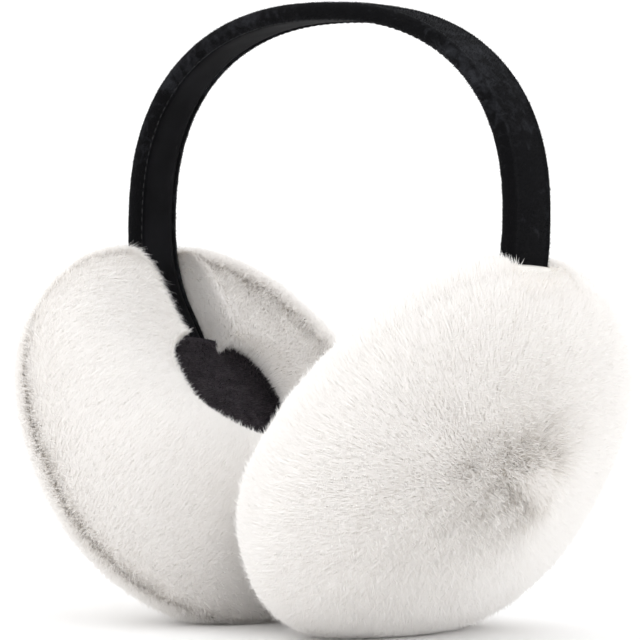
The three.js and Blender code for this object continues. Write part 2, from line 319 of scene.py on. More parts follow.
@dataclass(frozen=True)
class PileFinish:
    """A pile of fine fibres, darker at the root than at the tip; an attribute gives the share along a fibre.

    The glow is the share of light that passes through a fibre instead of coming back from it.
    """

    name: str
    root: str
    tip: str
    sheen: float
    cloud_mm: float
    glow: float = 0.0

    def material(self) -> bpy.types.Material:
        """Builds the finish. Returns the material."""
        made, graph = new_material(self.name)
        along = graph.add("ShaderNodeAttribute", attribute_name="along").outputs["Fac"]
        place = graph.add("ShaderNodeTexCoord").outputs["Object"]
        cloud = graph.add("ShaderNodeTexNoise", {
            "Vector": place, "Scale": 1 / (self.cloud_mm * MM), "Detail": 3.0})
        lift = graph.add("ShaderNodeMath", {0: cloud.outputs["Fac"], 1: 0.25, 2: along},
                         operation="MULTIPLY_ADD")
        tone = graph.add("ShaderNodeValToRGB", {"Fac": lift.outputs["Value"]})
        tone.color_ramp.elements[0].position, tone.color_ramp.elements[0].color = 0.05, linear(self.root)
        tone.color_ramp.elements[1].position, tone.color_ramp.elements[1].color = 0.7, linear(self.tip)
        shader = graph.add("ShaderNodeBsdfPrincipled", {
            "Base Color": tone.outputs["Color"], "Roughness": 0.9, "Specular IOR Level": 0.1,
            "Sheen Weight": self.sheen, "Sheen Roughness": 0.6})
        surface = shader.outputs["BSDF"]
        if self.glow:
            through = graph.add("ShaderNodeBsdfTranslucent", {"Color": tone.outputs["Color"]})
            surface = graph.add("ShaderNodeMixShader", {
                0: self.glow, 1: surface, 2: through.outputs["BSDF"]}).outputs["Shader"]
        graph.add("ShaderNodeOutputMaterial", {"Surface": surface})
        return made


# Dense off-white fur: fine fibres that scatter light from one to the next, so the pads look soft and even.
FUR = PileFinish("off_white_fur_fibre", root="FAF8F5", tip="FEFDFC", sheen=0.1, cloud_mm=14.0, glow=0.35)
# Knitted backing under the fur, seen only between the roots.
BACKING = PileFinish("off_white_fur_backing", root="F3F0EB", tip="F7F4F0", sheen=0.0, cloud_mm=14.0)
# Short dark plush, a cut pile of fine fibres: nearly black inside, warm grey where the tips catch light.
PLUSH = PileFinish("dark_short_plush", root="3A363A", tip="5C565B", sheen=0.06, cloud_mm=6.0)
PLUSH_GROUND = PileFinish("dark_plush_ground", root="3A363A", tip="48434A", sheen=0.0, cloud_mm=6.0)


@dataclass
class ArchShape:
    """The headband's path: a superellipse that leans in below its widest level and ends in straight tails."""

    half_width: float = 75.5 * MM
    rise: float = 63.5 * MM
    drop: float = 58.0 * MM
    power: float = 2.32
    tilt: float = math.radians(32)
    tail: float = 27.0 * MM
    width_crown: float = 18.2 * MM
    width_end: float = 20.4 * MM
    middle: np.ndarray = field(default_factory=lambda: np.zeros(3))

    def __post_init__(self) -> None:
        """Takes the place of the widest level's middle from the frame."""
        low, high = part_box("headband_cover")
        self.middle = np.array([0.0, (low[1] + high[1]) / 2, high[2] - self.rise])

    @property
    def tail_angle(self) -> float:
        """The angle at which the arch has leaned in by the pads' tilt."""
        lean = math.tan(self.tilt) * self.drop / self.half_width
        return -math.atan(lean ** (1 / (2 - 2 / self.power)))

    def point(self, angle: np.ndarray) -> np.ndarray:
        """Points of the outer face on the right side, from the middle, at angles up from the widest level."""
        c, s = np.cos(angle), np.sin(angle)
        reach = np.where(s < 0, self.drop, self.rise)
        x = self.half_width * np.sign(c) * np.abs(c) ** (2 / self.power)
        z = reach * np.sign(s) * np.abs(s) ** (2 / self.power)
        return np.stack([x, np.zeros_like(x), z], axis=-1)

    def stations(self, count: int) -> tuple[np.ndarray, np.ndarray, np.ndarray]:
        """Evenly spaced stations from the right tail's end over the crown to the left tail's end.

        Args:
            count: How many stations there are.

        Returns:
            Points on the outer face, unit directions into the band, and the band's widths.
        """
        angles = np.linspace(self.tail_angle, math.pi / 2, 600)
        arch = self.point(angles)
        up = np.array([math.sin(self.tilt), 0, math.cos(self.tilt)])
        steps = np.linspace(1, 0, 60)[:-1, None]
        right = np.concatenate([arch[0] - up * self.tail * steps, arch])
        path = np.concatenate([right, right[-2::-1] * np.array([-1, 1, 1])])
        length = np.concatenate([[0], np.cumsum(np.linalg.norm(np.diff(path, axis=0), axis=1))])
        at = np.linspace(0, length[-1], count)
        points = np.stack([np.interp(at, length, path[:, i]) for i in range(3)], axis=1)
        along = unit(np.gradient(points, axis=0))
        inward = np.stack([-along[:, 2], np.zeros(count), along[:, 0]], axis=1)
        fall = np.clip(-points[:, 2] / self.drop, 0, 1)
        widths = self.width_crown + (self.width_end - self.width_crown) * fall
        return points + self.middle, inward, widths


@dataclass
class Headband:
    """The velvet arch: padded cover with rolled edges, sateen strip in its inner face, and two rows of stitches."""

    arch: ArchShape
    thickness: float = 5.2 * MM
    edge_radius: float = 2.3 * MM
    strip_margin: float = 2.6 * MM
    strip_thickness: float = 1.1 * MM
    strip_sink: float = 0.25 * MM
    puff: float = 0.25 * MM
    pucker: float = 0.12 * MM
    stations: int = 260
    stitch_pitch: float = 2.7 * MM
    stitch_length: float = 1.7 * MM
    stitch_radius: float = 0.17 * MM

    def _sweep(self, name: str, section: np.ndarray, shares: np.ndarray, cover: bool) -> bpy.types.Object:
        """Sweeps a closed section along the arch.

        Args:
            name: The object's name.
            section: Pairs of distance across and depth, in metres, at the crown.
            shares: For each pair, which half of the band's extra width it moves with, from -1 to 1.
            cover: Whether the cloth's puckers are wanted.

        Returns:
            The swept object.
        """
        points, inward, widths = self.arch.stations(self.stations)
        extra = (widths - self.arch.width_crown) / 2
        across = section[None, :, 0] + extra[:, None] * shares[None, :]
        depth = np.repeat(section[None, :, 1], self.stations, axis=0)
        if cover:
            run = np.linspace(0, 1, self.stations)[:, None]
            wave = np.sin(run * 233 + 3 * np.sin(run * 31)) + 0.6 * np.sin(run * 411 + 1.3)
            edge = np.abs(section[None, :, 0]) / (self.arch.width_crown / 2)
            across = across * (1 + self.pucker / self.arch.width_crown * wave * edge ** 4)
            depth = depth + self.pucker * 0.5 * wave * (1 - edge ** 2)
        rings = points[:, None] + inward[:, None] * depth[..., None] + BACK * across[..., None]
        ends = np.stack([rings[0].mean(axis=0), rings[-1].mean(axis=0)])
        rings = np.concatenate([np.broadcast_to(ends[0], rings[:1].shape), rings,
                                np.broadcast_to(ends[1], rings[:1].shape)])
        piece = closed_skin(name, rings)
        face_out(piece)
        around = section.shape[0]
        corners = np.zeros((len(piece.data.vertices), 2))
        run = np.repeat(np.linspace(0, 1, self.stations), around) * self.length
        side = np.tile(section[:, 0], self.stations)
        corners[:len(run)] = np.stack([run, side], axis=1)
        layer = piece.data.uv_layers.new(name="run")
        picks = np.empty(len(piece.data.loops), dtype=np.int32)
        piece.data.loops.foreach_get("vertex_index", picks)
        layer.data.foreach_set("uv", corners[picks].astype(np.float32).ravel())
        return piece

    @property
    def length(self) -> float:
        """The length of the band's outer face."""
        points, _, _ = self.arch.stations(400)
        return float(np.linalg.norm(np.diff(points, axis=0), axis=1).sum())

    def cover(self) -> bpy.types.Object:
        """Builds the padded cover. Returns it, without a finish."""
        half, roll, thick = self.arch.width_crown / 2, self.edge_radius, self.thickness
        turns = np.linspace(0, math.pi / 2, 7)
        face = np.linspace(-1, 1, 13)
        outer = [(x * (half - roll), self.puff * (x * x - 1) + self.puff) for x in face]
        right_top = [(half - roll + roll * math.sin(a), roll - roll * math.cos(a)) for a in turns[1:]]
        right_low = [(half - roll + roll * math.cos(a), thick - roll + roll * math.sin(a)) for a in turns]
        bed = half - self.strip_margin
        floor = thick - self.strip_thickness - self.strip_sink
        groove = [(bed + 0.25 * MM, thick - 0.1 * MM), (bed, thick - 0.5 * MM), (bed - 0.1 * MM, floor)]
        right = right_top + right_low[:-1] + [(half - roll, thick)] + groove
        left = [(-x, y) for x, y in reversed(right)]
        section = np.array(outer + right + left)
        shares = np.clip(section[:, 0] / (half - roll), -1, 1)
        piece = self._sweep("headband_velvet_cover", section, shares, cover=True)
        count = len(piece.data.vertices)
        sunk = np.abs(np.tile(section[:, 0], self.stations)) < bed + 0.3 * MM
        inner = np.tile(section[:, 1], self.stations) > roll
        piled = np.where(sunk & inner, 0.0, 1.0)
        store(piece, "cover", "FLOAT", np.concatenate([piled, [0.0, 0.0]]))
        store(piece, "reach", "FLOAT", np.ones(count))
        points, _, _ = self.arch.stations(self.stations)
        along = np.repeat(unit(np.gradient(points, axis=0)), len(section), axis=0)
        store(piece, "nap", "FLOAT_VECTOR", np.concatenate([along, np.zeros((2, 3))]))
        return piece

    def strip(self) -> bpy.types.Object:
        """Builds the lining strip with a slightly crowned face. Returns it, without a finish."""
        half = self.arch.width_crown / 2 - self.strip_margin - 0.15 * MM
        high = self.thickness - self.strip_sink + 0.15 * MM
        low = high - self.strip_thickness
        face = np.linspace(1, -1, 11)
        top = [(x * half, high - 0.35 * MM * abs(x) ** 6) for x in face]
        bottom = [(x * half, low) for x in face[::-1]]
        section = np.array(top + bottom)
        shares = section[:, 0] / half
        return self._sweep("headband_lining_strip", section, shares, cover=False)

    def _stitch_tree(self, material: bpy.types.Material) -> bpy.types.NodeTree:
        """Builds the node tree that sets stitches on the points of a path.

        Args:
            material: The thread's finish.

        Returns:
            The tree.
        """
        tree = bpy.data.node_groups.new("stitches_on_path", "GeometryNodeTree")
        graph = Graph(tree)
        tree.interface.new_socket("Geometry", in_out="INPUT", socket_type="NodeSocketGeometry")
        for name in ("Length", "Radius"):
            tree.interface.new_socket(name, in_out="INPUT", socket_type="NodeSocketFloat")
        tree.interface.new_socket("Geometry", in_out="OUTPUT", socket_type="NodeSocketGeometry")
        inputs = graph.add("NodeGroupInput")
        ball = graph.add("GeometryNodeMeshUVSphere", {"Segments": 6, "Rings": 5, "Radius": 1.0})
        half = graph.add("ShaderNodeMath", {0: inputs.outputs["Length"], 1: 0.5}, operation="MULTIPLY")
        size = graph.add("ShaderNodeCombineXYZ", {"X": inputs.outputs["Radius"], "Y": inputs.outputs["Radius"],
                                                  "Z": half.outputs["Value"]})
        shape = graph.add("GeometryNodeTransform", {"Geometry": ball.outputs["Mesh"],
                                                    "Scale": size.outputs["Vector"]})
        heading = graph.add("GeometryNodeInputNamedAttribute", {"Name": "heading"}, data_type="FLOAT_VECTOR")
        turn = graph.add("FunctionNodeAlignRotationToVector", {"Vector": heading.outputs["Attribute"]}, axis="Z")
        placed = graph.add("GeometryNodeInstanceOnPoints", {
            "Points": inputs.outputs["Geometry"], "Instance": shape.outputs["Geometry"],
            "Rotation": turn.outputs["Rotation"]})
        real = graph.add("GeometryNodeRealizeInstances", {"Geometry": placed.outputs["Instances"]})
        dressed = graph.add("GeometryNodeSetMaterial", {"Geometry": real.outputs["Geometry"], "Material": material})
        graph.add("NodeGroupOutput", {"Geometry": dressed.outputs["Geometry"]})
        return tree

    def stitches(self, material: bpy.types.Material) -> bpy.types.Object:
        """Sews the strip down: a row of short stitches just outside each of its edges.

        Args:
            material: The thread's finish.

        Returns:
            Both rows as one piece.
        """
        count = int(self.length / self.stitch_pitch)
        points, inward, widths = self.arch.stations(count)
        along = unit(np.gradient(points, axis=0))
        rows = []
        for sign in (-1, 1):
            across = sign * (widths / 2 - self.strip_margin + 0.75 * MM)
            rows.append(points + inward * (self.thickness - 0.02 * MM) + BACK * across[:, None])
        path = mesh_object("stitch_path", np.concatenate(rows), [])
        store(path, "heading", "FLOAT_VECTOR", np.concatenate([along, along]))
        tree = self._stitch_tree(material)
        sizes = {"Length": self.stitch_length, "Radius": self.stitch_radius}
        sewn = bake_nodes(path, tree, sizes, "headband_stitches")
        bpy.data.objects.remove(path)
        return sewn


def bake_nodes(carrier: bpy.types.Object, tree: bpy.types.NodeTree, values: dict,
               name: str) -> bpy.types.Object:
    """Runs a geometry tree on a carrier and keeps the result as a plain mesh.

    Args:
        carrier: The object that the tree grows from.
        tree: The tree.
        values: Input name to value.
        name: The new object's name.

    Returns:
        The new object. The carrier keeps its own mesh.
    """
    modifier = carrier.modifiers.new("grow", "NODES")
    modifier.node_group = tree
    for item in tree.interface.items_tree:
        if item.in_out == "INPUT" and item.name in values:
            modifier[item.identifier] = values[item.name]
    depsgraph = bpy.context.evaluated_depsgraph_get()
    mesh = bpy.data.meshes.new_from_object(carrier.evaluated_get(depsgraph))
    carrier.modifiers.remove(modifier)
    mesh.name = name
    made = bpy.data.objects.new(name, mesh)
    bpy.context.scene.collection.objects.link(made)
    return made


def pile_tree(material: bpy.types.Material) -> bpy.types.NodeTree:
    """Builds the node tree that grows tapered, bent fibres from a surface.

    The surface carries three attributes: cover, the share of full density; nap, the way the fibres lie; and
    reach, the share of full length.

    Args:
        material: The fibres' finish.

    Returns:
        The tree, with its sizes as named inputs.
    """
    tree = bpy.data.node_groups.new("pile_" + material.name, "GeometryNodeTree")
    graph = Graph(tree)
    tree.interface.new_socket("Geometry", in_out="INPUT", socket_type="NodeSocketGeometry")
    for name in ("Density", "Length", "Width", "Lay", "Bend", "Stray", "Tuft", "Tuft Size"):
        tree.interface.new_socket(name, in_out="INPUT", socket_type="NodeSocketFloat")
    for name in ("Seed", "Rows"):
        tree.interface.new_socket(name, in_out="INPUT", socket_type="NodeSocketInt")
    tree.interface.new_socket("Geometry", in_out="OUTPUT", socket_type="NodeSocketGeometry")
    given = graph.add("NodeGroupInput").outputs

    def vector(operation: str, first: object, second: object = None) -> bpy.types.NodeSocket:
        """One step of vector arithmetic. Returns its result."""
        sockets = {0: first}
        if second is not None:
            sockets["Scale" if operation == "SCALE" else 1] = second
        return graph.add("ShaderNodeVectorMath", sockets, operation=operation).outputs["Vector"]

    def number(operation: str, first: object, second: object) -> bpy.types.NodeSocket:
        """One step of arithmetic. Returns its result."""
        return graph.add("ShaderNodeMath", {0: first, 1: second}, operation=operation).outputs["Value"]

    def read(name: str, kind: str = "FLOAT") -> bpy.types.NodeSocket:
        """Reads a named attribute. Returns its socket."""
        return graph.add("GeometryNodeInputNamedAttribute", {"Name": name}, data_type=kind).outputs["Attribute"]

    density = number("MULTIPLY", given["Density"], read("cover"))
    spread = graph.add("GeometryNodeDistributePointsOnFaces", {
        "Mesh": given["Geometry"], "Density": density, "Seed": given["Seed"]})
    place = graph.add("GeometryNodeInputPosition").outputs["Position"]
    nap = read("nap", "FLOAT_VECTOR")
    stand = spread.outputs["Normal"]
    tufts = graph.add("ShaderNodeTexNoise", {"Vector": vector("DIVIDE", place, given["Tuft Size"]), "Scale": 1.0,
                                             "Detail": 1.0})
    tuft = vector("SCALE", vector("SUBTRACT", tufts.outputs["Color"], (0.5, 0.5, 0.5)), given["Tuft"])
    wild = graph.add("FunctionNodeRandomValue", {"Min": (-1, -1, -1), "Max": (1, 1, 1), "Seed": given["Seed"]},
                     data_type="FLOAT_VECTOR").outputs["Value"]
    stray = vector("SCALE", wild, given["Stray"])
    laid = vector("ADD", stand, vector("SCALE", nap, given["Lay"]))
    lean = vector("NORMALIZE", vector("ADD", vector("ADD", laid, tuft), stray))
    vary = graph.add("FunctionNodeRandomValue", {2: 0.7, 3: 1.15, "Seed": 7}, data_type="FLOAT")
    length = number("MULTIPLY", number("MULTIPLY", given["Length"], read("reach")), vary.outputs[1])
    askew = vector("SCALE", wild, 0.12)
    across = vector("NORMALIZE", vector("ADD", vector("CROSS_PRODUCT", stand, lean), askew))
    kept = spread.outputs["Points"]
    for name, value in (("root", place), ("lean", vector("SCALE", lean, length)),
                        ("curl", vector("SCALE", vector("SCALE", nap, length), given["Bend"])),
                        ("side", vector("SCALE", across, given["Width"]))):
        kept = graph.add("GeometryNodeStoreNamedAttribute", {
            "Geometry": kept, "Name": name, "Value": value}, data_type="FLOAT_VECTOR").outputs["Geometry"]
    blade = graph.add("GeometryNodeMeshGrid", {
        "Size X": 1.0, "Size Y": 1.0, "Vertices X": 2, "Vertices Y": given["Rows"]})
    parts = graph.add("ShaderNodeSeparateXYZ", {0: graph.add("GeometryNodeInputPosition").outputs["Position"]})
    share = number("ADD", parts.outputs["Y"], 0.5)
    shape = graph.add("GeometryNodeStoreNamedAttribute", {
        "Geometry": blade.outputs["Mesh"], "Name": "along", "Value": share}, data_type="FLOAT")
    shape = graph.add("GeometryNodeStoreNamedAttribute", {
        "Geometry": shape.outputs["Geometry"], "Name": "aside", "Value": parts.outputs["X"]}, data_type="FLOAT")
    taper = number("SUBTRACT", 1.0, share)
    tapered = graph.add("ShaderNodeCombineXYZ", {
        "X": number("MULTIPLY", parts.outputs["X"], taper), "Y": parts.outputs["Y"]})
    shape = graph.add("GeometryNodeSetPosition", {
        "Geometry": shape.outputs["Geometry"], "Position": tapered.outputs["Vector"]})
    shape = graph.add("GeometryNodeMergeByDistance", {"Geometry": shape.outputs["Geometry"], "Distance": 0.001})
    placed = graph.add("GeometryNodeInstanceOnPoints", {"Points": kept, "Instance": shape.outputs["Geometry"]})
    real = graph.add("GeometryNodeRealizeInstances", {"Geometry": placed.outputs["Instances"]})
    along = read("along")
    thin = number("SUBTRACT", 1.0, number("MULTIPLY", along, 0.55))
    spot = vector("ADD", read("root", "FLOAT_VECTOR"), vector("SCALE", read("lean", "FLOAT_VECTOR"), along))
    bent = vector("ADD", spot, vector("SCALE", read("curl", "FLOAT_VECTOR"), number("MULTIPLY", along, along)))
    wide = vector("SCALE", read("side", "FLOAT_VECTOR"), number("MULTIPLY", read("aside"), thin))
    moved = graph.add("GeometryNodeSetPosition", {"Geometry": real.outputs["Geometry"],
                                                  "Position": vector("ADD", bent, wide)})
    out = moved.outputs["Geometry"]
    for name in ("root", "lean", "curl", "side", "aside", "nap", "cover", "reach"):
        out = graph.add("GeometryNodeRemoveAttribute", {"Geometry": out, "Name": name}).outputs["Geometry"]
    dressed = graph.add("GeometryNodeSetMaterial", {"Geometry": out, "Material": material})
    graph.add("NodeGroupOutput", {"Geometry": dressed.outputs["Geometry"]})
    return tree


@dataclass
class EarPad:
    """One ear: a cushion of deep fur, tilted with the band's tail, with a dark plush hollow for the ear."""

    side: Side
    arch: ArchShape
    half_height: float = 64.4 * MM
    half_depth: float = 70.0 * MM
    power: float = 2.25
    taper: float = 0.06
    crown: float = 31.0 * MM
    lip_top: float = 20.0 * MM
    lip_bottom: float = 34.5 * MM
    lip_front_drop: float = 4.0 * MM
    lip_radius: float = 37.0 * MM
    mouth_radius: float = 19.5 * MM
    mouth_height: float = 11.0 * MM
    mouth_raise: float = 8.0 * MM
    hollow_radius: float = 33.0 * MM
    below_tail: float = 43.8 * MM
    forward: float = 2.6 * MM
    seat: float = 0.9 * MM
    band_thickness: float = 5.2 * MM
    fur_depth: float = 2.0 * MM
    lining_gap: float = 0.4 * MM
    lining_thickness: float = 1.8 * MM
    lining_crown: float = 1.5 * MM
    lining_top: float = 0.5
    band_dip: float = 0.35
    floor_gap: float = 0.25 * MM
    meeting_gap: float = 0.25 * MM
    groove_gap: float = 0.3 * MM
    groove_wall: float = 0.5 * MM
    groove_columns: int = 8
    columns: int = 150
    dish_columns: int = 96
    dish_sizes: tuple[float, ...] = (0.0, 0.3, 0.6, 0.85, 1.0)
    whorl: float = 0.6
    comb: tuple[float, float, float] = (-0.5, -0.8, 0.0)
    stand_by_band: tuple[float, float, float] = (0.6, 0.0, 0.0)
    beside_band: float = 10.0 * MM
    beside_fade: float = 7.0 * MM
    wall_reach: float = 0.5
    front_tuck: float = 0.065
    front_sag: float = 4.0 * MM
    mouth_tuck: float = 5.0 * MM
    lumps: float = 0.7 * MM

    @property
    def up(self) -> np.ndarray:
        """The direction up along the pad."""
        return np.array([self.side.value * math.sin(self.arch.tilt), 0, math.cos(self.arch.tilt)])

    @property
    def inwards(self) -> np.ndarray:
        """The direction from the outer crown in towards the head."""
        return np.array([-self.side.value * math.cos(self.arch.tilt), 0, math.sin(self.arch.tilt)])

    @property
    def centre(self) -> np.ndarray:
        """The pad's centre."""
        tail = self.arch.point(np.array(self.arch.tail_angle)) * np.array([self.side.value, 1, 1])
        spot = tail - self.up * self.below_tail - self.inwards * self.seat - BACK * self.forward
        return spot + self.arch.middle

    @property
    def hollow_floor(self) -> float:
        """How far in the hollow's floor lies."""
        return self.seat + self.band_thickness

    def lip_height(self, turn: np.ndarray) -> np.ndarray:
        """How far in the lip stands at a turn: low at the top, full at the bottom, and lower in front than behind."""
        height = self.lip_top + (self.lip_bottom - self.lip_top) * (1 - np.cos(turn)) / 2
        above = np.clip((np.cos(turn) - np.sin(turn)) / math.sqrt(2), 0, 1) ** 2
        return height - self.lip_front_drop * ((1 - np.sin(turn)) / 2) ** 2 - self.front_sag * above

    def outline(self, place: float, turn: np.ndarray, depth: float) -> np.ndarray:
        """A ring of the fur's skin.

        Args:
            place: 0 to 1 from the outer crown to the rim, to 2 at the lip's crest, to 3 at the mouth, and to 4 at
                the foot of the hollow's wall.
            turn: Turns round the pad, from its top.
            depth: How far under the tips of the fur.

        Returns:
            Pad coordinates up, back and in, one row for each turn.
        """
        reach = min(int(place), 3)
        angle = (place - reach) * math.pi / 2
        below = np.clip(-(np.cos(turn) + np.sin(turn)) / math.sqrt(2), 0, 1) ** 2
        rim = self.half_height * (1 - self.front_tuck * below) - depth
        mouth_radius = self.mouth_radius - self.mouth_tuck * below
        mouth = self.hollow_floor + self.mouth_height
        lip = self.lip_height(turn) - depth
        if reach == 0:
            radius, lift, level = rim * math.sin(angle), 0.0, (depth - self.crown) * math.cos(angle) + 0 * turn
        elif reach == 1:
            radius = self.lip_radius + (rim - self.lip_radius) * math.cos(angle)
            lift, level = self.mouth_raise * math.sin(angle), lip * math.sin(angle)
        elif reach == 2:
            radius = self.lip_radius + (mouth_radius + depth - self.lip_radius) * math.sin(angle)
            lift, level = self.mouth_raise, mouth + (lip - mouth) * math.cos(angle)
        else:
            share = place - 3
            start = mouth_radius + depth
            radius = start + (self.hollow_radius - start) * share
            lift, level = self.mouth_raise * (1 - share), mouth + (self.hollow_floor - mouth) * share + 0 * turn
        return self.oval(radius, lift, level, turn)

    def oval(self, radius: float | np.ndarray, lift: float, level: np.ndarray, turn: np.ndarray) -> np.ndarray:
        """An oval ring with full corners, narrower above than below.

        Args:
            radius: Its half height, one for all points or one for each.
            lift: How far up its middle lies.
            level: How far in each of its points lies.
            turn: Turns round the pad, from its top.

        Returns:
            Pad coordinates up, back and in, one row for each turn.
        """
        c, s = np.cos(turn), np.sin(turn)
        up = np.sign(c) * np.abs(c) ** (2 / self.power)
        stretch = (self.half_depth / self.half_height) * (1 - self.taper * up)
        back = radius * stretch * np.sign(s) * np.abs(s) ** (2 / self.power)
        return np.stack([lift + radius * up, back, level], axis=-1)

    def world(self, local: np.ndarray) -> np.ndarray:
        """Turns pad coordinates to the part's frame."""
        return (self.centre + local[..., :1] * self.up + local[..., 1:2] * BACK
                + local[..., 2:3] * self.inwards)

    def band_level(self, high: np.ndarray) -> np.ndarray:
        """How far in the band's outer face lies, at heights up along the pad."""
        points, _, _ = self.arch.stations(400)
        side = points[points[:, 0] * self.side.value > 0]
        away = side - self.centre
        tall, level = away @ self.up, away @ self.inwards
        order = np.argsort(tall)
        return np.interp(high, tall[order], level[order])

    def ring_turns(self, place: float) -> np.ndarray:
        """Turns of a ring's columns: first those that lie under the band, then the rest round the pad.

        Args:
            place: The ring's place on the skin.

        Returns:
            One turn for each column.
        """
        probe = np.linspace(-0.5, 0.5, 201)
        aside = self.outline(place, probe, self.fur_depth)[:, 1] - self.forward
        inner = self.arch.width_end / 2 + self.groove_gap
        outer = inner + self.groove_wall
        spots = np.interp([-outer, -inner, inner, outer], aside, probe)
        spots = spots + np.array([-2, -1, 1, 2]) * 0.004
        under = np.linspace(spots[1], spots[2], self.groove_columns)
        rest = np.linspace(spots[3], spots[0] + 2 * math.pi, self.columns - self.groove_columns)
        return np.concatenate([under, rest])

    def grooved(self, local: np.ndarray, place: float) -> tuple[np.ndarray, np.ndarray]:
        """Sinks the fur's backing under the band.

        Args:
            local: Pad coordinates of a ring.
            place: The ring's place on the skin.

        Returns:
            The changed coordinates, and for each whether it lies in the band's groove.
        """
        inside = np.arange(len(local)) < self.groove_columns
        inside &= 1.02 < place
        under = self.band_level(local[:, 0]) - 0.6 * MM
        level = np.where(inside & (place < 3.9), np.minimum(local[:, 2], under), local[:, 2])
        return np.stack([local[:, 0], local[:, 1], level], axis=1), inside

    def lumpy(self, points: np.ndarray) -> np.ndarray:
        """Swells and dents points gently, as stuffed fur does. Returns them."""
        moved = [noise.noise_vector(Vector(p) / (26 * MM)) * self.lumps for p in points]
        return points + np.array(moved)

    def squashed(self, points: np.ndarray) -> np.ndarray:
        """Keeps points above the floor and on this pad's own side of the middle."""
        kept = points.copy()
        kept[:, 2] = np.maximum(kept[:, 2], self.floor_gap)
        kept[:, 0] = self.side.value * np.maximum(kept[:, 0] * self.side.value, self.meeting_gap)
        return kept

    def cushion(self) -> bpy.types.Object:
        """Builds the furred cushion's backing, with the attributes that its pile grows by. Returns it."""
        places = np.concatenate([np.linspace(0, 1, 22), np.linspace(1, 2, 20)[1:], np.linspace(2, 3, 16)[1:],
                                 np.linspace(3, 4, 5)[1:]])
        rings, naps, covers, reaches = [], [], [], []
        for place in places:
            turn = self.ring_turns(place)
            local, groove = self.grooved(self.outline(place, turn, self.fur_depth), place)
            step = 0.02 if place < 2.98 else -0.02
            ahead = self.outline(place + step, turn, self.fur_depth)
            nap = unit(ahead - self.outline(place, turn, self.fur_depth)) * np.sign(step)
            away = np.abs(local[:, 1] - self.forward) - self.beside_band
            beside = np.clip(1.3 - away / self.beside_fade, 0, 1)
            upright = beside * (local[:, 0] > 0) * max(0.0, min(1.0, (place - 0.7) * 5, (1.3 - place) * 5))
            nap = nap + upright[:, None] * (np.array(self.stand_by_band) - nap)
            parted = max(0.0, 1 - place / self.whorl) ** 2
            nap = nap * (1 - parted) + np.array(self.comb) * parted
            nap = nap * max(0.35, 1 - 1.3 * max(0.0, place - 2.4))
            rings.append(self.lumpy(self.world(local)))
            naps.append(nap[:, :1] * self.up + nap[:, 1:2] * BACK + nap[:, 2:3] * self.inwards)
            fade = 1.0 if place < 3.05 else max(0.0, 1 - (place - 3.05) / 0.3)
            wall = groove & np.isin(np.arange(self.columns), (0, self.groove_columns - 1))
            covers.append(np.where(groove & ~wall, 0.0, fade))
            short = 1.0 - 0.3 * min(1.0, max(0.0, (place - 2.4) * 3))
            short = short * (1 - 0.45 * upright)
            reaches.append(np.where(wall, self.wall_reach, short))
        middle = self.world(np.array([[0.0, 0.0, self.hollow_floor]]))
        rings.append(np.repeat(middle, self.columns, axis=0))
        piece = closed_skin(f"{self.side.label}_fur_cushion", np.array(rings))
        points = np.empty(len(piece.data.vertices) * 3)
        piece.data.vertices.foreach_get("co", points)
        piece.data.vertices.foreach_set("co", self.squashed(points.reshape(-1, 3)).ravel())
        face_out(piece)
        poles = np.array([naps[0][0], np.zeros(3)])
        store(piece, "nap", "FLOAT_VECTOR", np.concatenate([np.concatenate(naps[1:]), poles]))
        store(piece, "cover", "FLOAT", np.concatenate([np.concatenate(covers[1:]), [1.0, 0.0]]))
        store(piece, "reach", "FLOAT", np.concatenate([np.concatenate(reaches[1:]), [1.0, 1.0]]))
        return piece

    def pile(self, carrier: bpy.types.Object, tree: bpy.types.NodeTree, name: str,
             values: dict) -> bpy.types.Object:
        """Grows fibres on a carrier and presses them off the floor and the other pad.

        Args:
            carrier: The surface, with its attributes.
            tree: The pile's node tree.
            name: The new piece's name.
            values: The tree's inputs.

        Returns:
            The fibres as one mesh.
        """
        grown = bake_nodes(carrier, tree, values, f"{self.side.label}_{name}")
        points = np.empty(len(grown.data.vertices) * 3, dtype=np.float32)
        grown.data.vertices.foreach_get("co", points)
        grown.data.vertices.foreach_set("co", self.squashed(points.reshape(-1, 3)).ravel())
        grown.data.update()
        return grown

    def lining(self) -> bpy.types.Object:
        """Builds the crowned dish that lines the hollow, with the attributes of its plush. Returns it."""
        turn = np.linspace(0, 2 * math.pi, self.dish_columns, endpoint=False)
        lean = self.hollow_radius - self.mouth_radius - self.fur_depth
        leans = [(lean + sign * self.mouth_raise) / self.mouth_height for sign in (1, -1)]
        below, above = [math.hypot(1, leaning) for leaning in leans]

        def ring(share: float | np.ndarray, off: float, size: float = 1.0) -> np.ndarray:
            """A ring on the hollow's wall, from mouth to foot, moved in by off, or over the floor by size."""
            radius = self.hollow_radius - lean * (1 - share) - off * (below + above) / 2
            lift = self.mouth_raise * (1 - share) + off * (below - above) / 2
            level = self.hollow_floor + self.mouth_height * (1 - share) + self.lining_crown * (1 - size ** 2)
            return self.oval(radius * size, lift, level + 0 * turn, turn)

        def face(off: float) -> list[np.ndarray]:
            """The dish's face at a distance from the hollow, from the floor's middle to the wall's top."""
            foot = 1 - off / self.mouth_height
            floor = [ring(foot, off, size) for size in self.dish_sizes]
            top = self.lining_top + self.band_dip * np.maximum(np.cos(turn), 0) ** 4
            return floor + [ring((foot + top) / 2, off), ring(top, off)]

